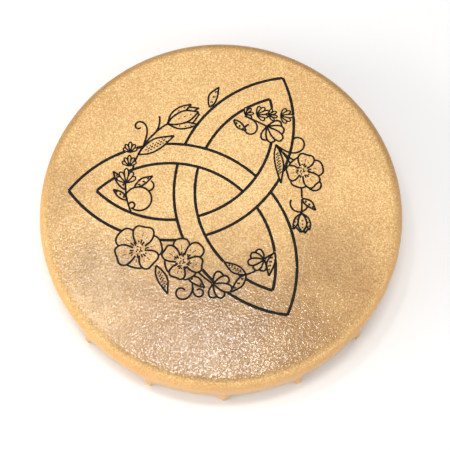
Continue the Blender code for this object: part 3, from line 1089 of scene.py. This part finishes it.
def draw_petal(drawing, centre, heading, length, breadth, veins=0, notch=0.0, open_foot=0.0):
    """A petal, narrow at its foot and rounded or a little notched at its end. It has no outline within a
    share open_foot of its length from the foot."""
    shape = (*PETAL_LEFT, (1.0 - notch, 0.05), *PETAL_RIGHT)
    outline = curve(placed(Vector(centre), *vectors(heading, length, breadth / 2), shape), closed=True)
    drawing.cover(outline)
    drawing.line([p for p in outline if math.dist(p, centre) >= length * open_foot], FLOWER_LINE)
    for k in range(veins):
        away = k - (veins - 1) / 2
        turn = 0.75 * away * math.degrees(breadth / 2 / length)
        inner = (polar(centre, length * (0.22 + 0.05 * k), heading + turn * 0.8),
                 polar(centre, length * (0.44 - 0.05 * abs(away)), heading + turn))
        outer = (polar(centre, length * 0.52, heading + turn),
                 polar(centre, length * (0.72 - 0.10 * abs(away)), heading + turn * 1.05))
        drawing.line(inner, SPRIG_LINE)
        drawing.line(outer, FINE_LINE, taper=True)


def draw_blossom(drawing, centre, size, facing, petals):
    """An open flower round a dotted eye. Its petals are longest in the facing direction, and every second one
    lies in front of its neighbours."""
    for k in (*range(0, petals, 2), *range(1, petals, 2)):
        from_facing = 360 * (k + 0.5) / petals
        length = size * (1 + 0.18 * math.cos(math.radians(from_facing)) + 0.06 * math.sin(2.4 * k))
        draw_petal(drawing, centre, facing + from_facing, length, PETAL_BREADTH * size / petals, veins=3,
                   notch=0.05 * (k % 2), open_foot=OPEN_FOOT)
    for k in range(8):
        turn = 20 + 47 * k
        spot = polar(centre, size * (0.04 + 0.055 * (k % 3)), turn)
        drawing.line([spot, polar(spot, EYE_DASH, turn)], SPRIG_LINE)


def draw_bud(drawing, base, heading, length, breadth):
    """A half-open bud: petals that overlap, each with its own tip and a broken vein."""
    base, (along, aside) = Vector(base), vectors(heading, length, breadth * length)
    for reach, aim, upper, lower in BUD_PETALS:
        edges = []
        for edge in (upper, lower):
            shape = ((0, 0), (0.22, 0.72 * edge), (0.62 * reach, edge), (reach, aim))
            edges.append(curve(placed(base, along, aside, shape)))
        drawing.cover(edges[0] + edges[1][::-1])
        for edge in edges:
            drawing.line(edge, FLOWER_LINE)
        middle = curve(placed(base, along, aside, ((0, 0), (0.5 * reach, (upper + lower) / 2), (reach, aim))))
        for share in (0.36, 0.54, 0.72):
            i = int(share * len(middle))
            drawing.line(middle[i:i + 3], FINE_LINE)


def fan(heading, spread, count):
    """The petals of a fan, the outer ones first, as each one's heading and its share of the full length."""
    for k in sorted(range(count), key=lambda k: -abs(k - (count - 1) / 2)):
        away = k - (count - 1) / 2
        yield heading + spread * away / (count - 1), 1 - 0.14 * abs(away)


def draw_side_flower(drawing, foot, heading, size, spread, count):
    """A flower seen from its side, its petals in a fan."""
    for turn, share in fan(heading, spread, count):
        draw_petal(drawing, foot, turn, size * share, size * 0.42)


def draw_sprig(drawing, foot, heading, size, spread=115, count=5):
    """A fan of small narrow petals."""
    shape = ((0, 0), (0.5, 0.9), (0.85, 1), (1, 0), (0.84, -1), (0.5, -0.9), (0, 0))
    for turn, share in fan(heading, spread, count):
        outline = curve(placed(Vector(foot), *vectors(turn, size * share, size * 0.13), shape))
        drawing.cover(outline)
        drawing.line(outline, SPRIG_LINE)


def draw_stems(drawing, *stems):
    for stem in stems:
        drawing.line(stem, FLOWER_LINE)


def draw_left_spray(drawing):
    """The spray that climbs the knot's left corner to a bud at the top."""
    low = grow((-0.49, -0.06), 117, 0.18, -26)
    high = grow((-0.50, 0.19), 80, 0.34, -45)
    scroll = grow(point_on(low, 0.62), 62, 0.34, -275, 1.1)
    draw_stems(drawing, low, high, scroll,
               grow(point_on(high, 0.45), 76, 0.25, 350, 3.0),
               grow(point_on(high, 0.65), 40, 0.14, 65),
               grow(point_on(scroll, 0.42), 5, 0.08, 150),
               grow(point_on(low, 0.25), 100, 0.085, -290))
    draw_leaf(drawing, point_on(high, 0.27), 32, 0.23, 0.145, 0.02, dashes=7)
    draw_leaf(drawing, point_on(low, 0.75), 126, 0.13, 0.15, -0.03)
    draw_leaf(drawing, point_on(low, 0.42), 144, 0.10, 0.165, -0.02)
    draw_leaf(drawing, point_on(scroll, 0.18), 36, 0.12, 0.15, 0.03)
    draw_sprig(drawing, (-0.52, 0.29), 92, 0.062)
    draw_sprig(drawing, (-0.52, 0.21), 92, 0.062)
    draw_sprig(drawing, (-0.53, 0.11), 92, 0.084)
    draw_bud(drawing, high[-1], 25, 0.20, 0.34)
    draw_leaf(drawing, (-0.09, 0.58), 69, 0.136, 0.175, 0.05)


def draw_right_spray(drawing):
    """The spray that hangs from the knot's upper corner down its right side."""
    top = grow((0.11, 0.535), -22, 0.14, -5)
    fork = (0.29, 0.37)
    hanging = grow((0.435, 0.13), -85, 0.155, -8)
    draw_stems(drawing, top, hanging,
               grow(point_on(top, 0.1), -20, 0.24, -330, 1.6),
               grow(fork, -38, 0.33, 350, 2.0),
               grow(fork, -55, 0.17, 35),
               grow(fork, -48, 0.16, -12),
               grow((0.455, 0.17), -80, 0.21, 310, 1.6),
               grow((0.38, 0.05), -115, 0.16, 190))
    draw_leaf(drawing, (0.05, 0.51), -42, 0.096, 0.175, -0.03)
    for k in range(4):
        draw_sprig(drawing, (0.11 + 0.067 * k, 0.545), 28 - 9 * k, (0.055, 0.075)[k % 2], 105, 4 + k % 2)
    draw_side_flower(drawing, top[-1], -42, 0.115, 110, 5)
    draw_leaf(drawing, fork, -82, 0.23, 0.10, 0.02, dashes=8)
    draw_blossom(drawing, (0.44, 0.22), 0.10, -15, 6)
    draw_leaf(drawing, point_on(hanging, 0.45), -40, 0.10, 0.175, 0.05)
    draw_bud(drawing, hanging[-1], -87, 0.116, 0.40)


def draw_lower_spray(drawing):
    """The large flowers across the knot's lower left band, with a trail to its bottom corner."""
    fork = (-0.135, -0.463)
    trail = grow((-0.115, -0.375), -42, 0.105, 10)
    branch = grow((0.145, -0.38), 12, 0.135, 60)
    draw_stems(drawing, trail, branch,
               grow((-0.15, -0.405), -73, 0.275, -350, 2.0),
               grow(fork, -95, 0.15, 330, 1.5),
               grow(branch[-1], 50, 0.065, -35))
    draw_leaf(drawing, (-0.34, -0.35), -65, 0.168, 0.15, 0.03, dashes=6)
    draw_leaf(drawing, (-0.17, -0.40), -33, 0.115, 0.175, 0.05, dashes=2)
    draw_leaf(drawing, branch[0], 152, 0.137, 0.165, 0.03, dashes=5)
    draw_leaf(drawing, branch[0], -128, 0.126, 0.16, 0.03)
    draw_side_flower(drawing, trail[-1], -15, 0.105, 145, 5)
    draw_side_flower(drawing, branch[-1], 195, 0.09, 130, 5)
    draw_leaf(drawing, (0.295, -0.25), -102, 0.137, 0.15, -0.05, dashes=4)
    draw_blossom(drawing, (-0.20, -0.325), 0.112, 70, 7)
    draw_blossom(drawing, (-0.435, -0.27), 0.125, 110, 6)


def on_hide(tree, x, y):
    """A place just over the hide's face."""
    hit = tree.ray_cast(Vector((x, y, FACE_Z + 0.01)), Vector((0, 0, -1)))[0]
    return (x, y, (hit.z if hit else FACE_Z) + INK_LIFT)


def ink_edges(points, width, taper, seed):
    """Both edges of a pen stroke at each of its points. Its width wavers, and a tapered one has fine ends."""
    ahead = np.gradient(points, axis=0)
    ahead /= np.maximum(np.hypot(*ahead.T), 1e-9)[:, None]
    last = len(points) - 1
    for i, ((x, y), (ux, uy)) in enumerate(zip(points, ahead)):
        from_end = min(i, last - i) / max(last * 0.35, 1)
        fine = 0.45 + 0.55 * smooth(from_end) if taper else 1.0
        half = width / 2 * fine * (1 + 0.13 * rough(x, y, scale=260.0, seed=seed))
        yield (x + uy * half, y - ux * half), (x - uy * half, y + ux * half)


def ink_mesh(drawing, tree):
    """The drawing's lines as thin ribbons that lie on the hide."""
    shape = bmesh.new()
    for index, (points, width, taper) in enumerate(drawing.strokes):
        pairs = []
        for edges in ink_edges(points * DRUM_RADIUS, width, taper, seed=index * 0.7):
            pairs.append([shape.verts.new(on_hide(tree, *place)) for place in edges])
        for (a, b), (d, c) in zip(pairs, pairs[1:]):
            shape.faces.new((a, d, c, b))
    mesh = bpy.data.meshes.new("ink_drawing")
    shape.to_mesh(mesh)
    shape.free()
    return mesh


def make_ink(tree, material):
    drawing = Drawing()
    for draw in (draw_knot, draw_lower_spray, draw_left_spray, draw_right_spray):
        draw(drawing)
    ink = new_piece("ink_drawing", ink_mesh(drawing, tree), material, "rawhide_head")
    body = ink.modifiers.new("thickness", "SOLIDIFY")
    body.thickness = INK_THICKNESS
    body.offset = -1


# -------------------- the studio

def make_floor():
    bpy.ops.mesh.primitive_plane_add(size=FLOOR_SIZE, location=(0, 0, 0))
    floor = bpy.context.active_object
    floor.name = "studio_floor"
    look = Look("studio_floor", 0.8)
    grey, pale = (0.90,) * 3, (0.915,) * 3
    shade = look.mix(look.range(look.noise(3), 0.4, 0.6), grey, pale)
    look.link(shade, look.shader.inputs["Base Color"])
    floor.data.materials.append(look.material)


def add_light(name, place, target, size_x, size_y, power, colour=(1, 1, 1), mirrored=True):
    """A rectangular lamp. One that isn't mirrored leaves no bright panel in the hide's gloss."""
    data = bpy.data.lights.new(name, "AREA")
    data.shape = "RECTANGLE"
    data.size, data.size_y, data.energy, data.color = size_x, size_y, power, colour
    light = bpy.data.objects.new(name, data)
    light.location = place
    light.rotation_euler = (Vector(target) - Vector(place)).to_track_quat("-Z", "Y").to_euler()
    light.visible_glossy = mirrored
    bpy.context.scene.collection.objects.link(light)


def make_world():
    """A white sky, brighter in front of the drum than behind it, and even where the camera sees it."""
    world = bpy.data.worlds.new("studio")
    world.use_nodes = True
    nodes, links = world.node_tree.nodes, world.node_tree.links
    sky = nodes["Background"]
    sky.inputs["Color"].default_value = (1.0, 1.0, 1.0, 1.0)
    direction = nodes.new("ShaderNodeSeparateXYZ")
    links.new(nodes.new("ShaderNodeTexCoord").outputs["Generated"], direction.inputs[0])
    fade = nodes.new("ShaderNodeMapRange")
    for socket, value in (("From Min", -1.0), ("From Max", 1.0), ("To Min", FRONT_SKY), ("To Max", BACK_SKY)):
        fade.inputs[socket].default_value = value
    links.new(direction.outputs["Y"], fade.inputs["Value"])
    seen = nodes.new("ShaderNodeMix")
    links.new(nodes.new("ShaderNodeLightPath").outputs["Is Camera Ray"], seen.inputs["Factor"])
    links.new(fade.outputs["Result"], seen.inputs["A"])
    seen.inputs["B"].default_value = SEEN_SKY
    links.new(seen.outputs["Result"], sky.inputs["Strength"])
    bpy.context.scene.world = world


def make_lights():
    """Two small lamps overhead that glint in the near side of the face, and two large soft ones in front."""
    warm = (1.0, 0.97, 0.91)
    add_light("overhead", (-0.02, 0.00, 1.27), (-0.02, -0.10, FACE_Z), 0.32, 0.11, 4.7)
    add_light("overhead_left", (-0.34, 0.14, 1.27), (-0.10, -0.05, FACE_Z), 0.24, 0.11, 2.0)
    add_light("left_front", (-2.5, -0.85, 0.85), (0, 0, 0.03), 2.2, 1.6, 52.0, warm, mirrored=False)
    add_light("right_front", (1.9, -1.6, 1.3), (0, 0, 0.03), 2.2, 1.6, 9.0, mirrored=False)


def make_camera():
    """A long lens in front of the drum, high over it and rolled a little."""
    data = bpy.data.cameras.new("camera")
    data.sensor_width = CAMERA_SENSOR
    data.lens = CAMERA_LENS
    camera = bpy.data.objects.new("camera", data)
    bpy.context.scene.collection.objects.link(camera)
    aimed_at = Vector((0, 0, HOOP_BACK))
    place = Vector((0, -math.cos(CAMERA_ELEVATION), math.sin(CAMERA_ELEVATION))) * CAMERA_DISTANCE
    ahead = -place.normalized()
    right = Vector((1, 0, 0))
    up = right.cross(ahead)
    ahead = (ahead + right * CAMERA_AIM[0] + up * CAMERA_AIM[1]).normalized()
    right = ahead.cross(up).normalized()
    up = right.cross(ahead)
    c, s = math.cos(CAMERA_ROLL), math.sin(CAMERA_ROLL)
    right, up = right * c + up * s, up * c - right * s
    matrix = np.eye(4)
    for column, axis in enumerate((right, up, -ahead)):
        matrix[:3, column] = axis
    matrix[:3, 3] = place + aimed_at
    camera.matrix_world = Matrix(matrix.tolist())
    bpy.context.scene.camera = camera


bpy.context.scene.view_settings.view_transform = "Standard"
make_camera()
make_floor()
make_world()
make_lights()
hide_tree = make_hide(rawhide_material())
make_hoop(wood_material())
make_laces(lace_material())
make_ring(steel_material())
make_wraps(suede_material())
make_ink(hide_tree, ink_material())

bpy.context.view_layer.update()
